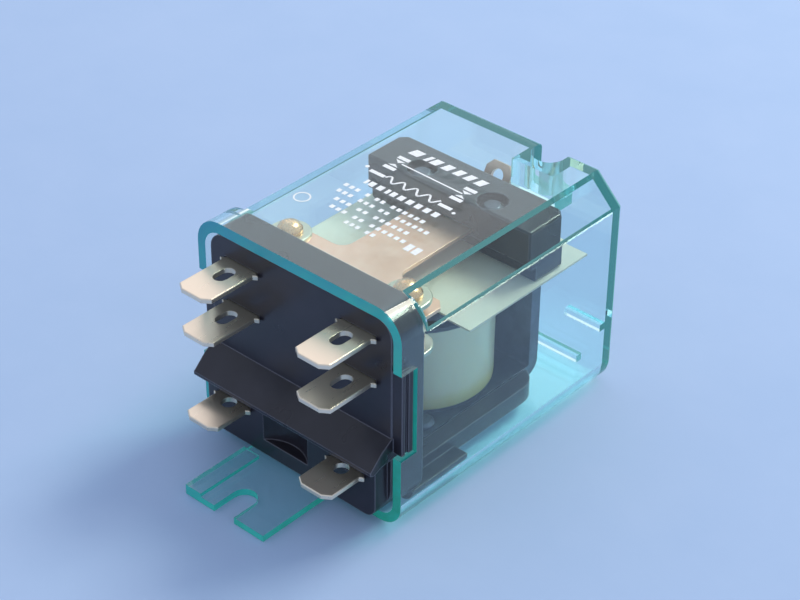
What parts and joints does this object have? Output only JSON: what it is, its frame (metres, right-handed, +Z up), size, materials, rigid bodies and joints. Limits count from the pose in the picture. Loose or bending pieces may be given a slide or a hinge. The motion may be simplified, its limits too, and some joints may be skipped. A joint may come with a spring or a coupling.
{
  "type": "plug-in relay",
  "caption": "Clear-covered power relay with quick-connect blades, a slotted mounting tab and a hinged armature that carries a bridging contact blade.",
  "frame": {"origin": "on the cover's flat bottom, in the middle of its width, in the plane of its open rim", "axes": "+X to the right across the terminal face seen from the blades, +Y from the rim to the cover's far end, +Z up from the mounting surface"},
  "size_m": [0.039, 0.0626, 0.0363],
  "materials": {
    "clear_plastic": "clear, slightly blue-green, polished",
    "black_plastic": "moulded, semi-matt",
    "tinned_brass": "tinned, bright with warm edges",
    "contact_brass": "polished",
    "copper": "rolled, satin",
    "dark_steel": "dark plated, satin",
    "spring_steel": "drawn wire",
    "enamelled_wire": "enamelled copper winding",
    "cream_tape": "translucent film tape",
    "milky_sheet": "translucent film"
  },
  "bodies": {
    "housing": {"cover": "clear_plastic", "base": "black_plastic", "terminal_upper_left": "tinned_brass", "terminal_upper_right": "tinned_brass", "terminal_lower_left": "tinned_brass", "terminal_lower_right": "tinned_brass", "terminal_coil_left": "tinned_brass", "terminal_coil_right": "tinned_brass", "fixed_contact_upper_left": "contact_brass", "fixed_contact_upper_right": "contact_brass", "fixed_contact_lower_left": "contact_brass", "fixed_contact_lower_right": "contact_brass", "bobbin": "black_plastic", "coil_winding": "enamelled_wire", "coil_tape": "cream_tape", "core": "dark_steel", "yoke": "dark_steel", "frame_rivet_left": "dark_steel", "frame_rivet_right": "dark_steel", "coil_lead_left": "copper", "coil_lead_right": "copper", "return_spring": "spring_steel"},
    "moving_armature": {"armature": "dark_steel", "insulating_sheet": "milky_sheet", "contact_carrier": "black_plastic", "bridge_blade": "copper", "moving_contact_left": "copper", "moving_contact_right": "copper", "carrier_rivet_left": "dark_steel", "carrier_rivet_right": "dark_steel"}
  },
  "joints": [
    {"name": "armature_hinge", "type": "hinge", "parent": "housing", "child": "moving_armature", "pos_m": [0, 0.0363, 0.02305], "axis": [1, 0, 0], "range_deg": [0, 3.1], "stiffness_Nm_per_rad": 0.2, "springref_deg": -5.73, "deforming": ["return_spring"]}
  ]
}
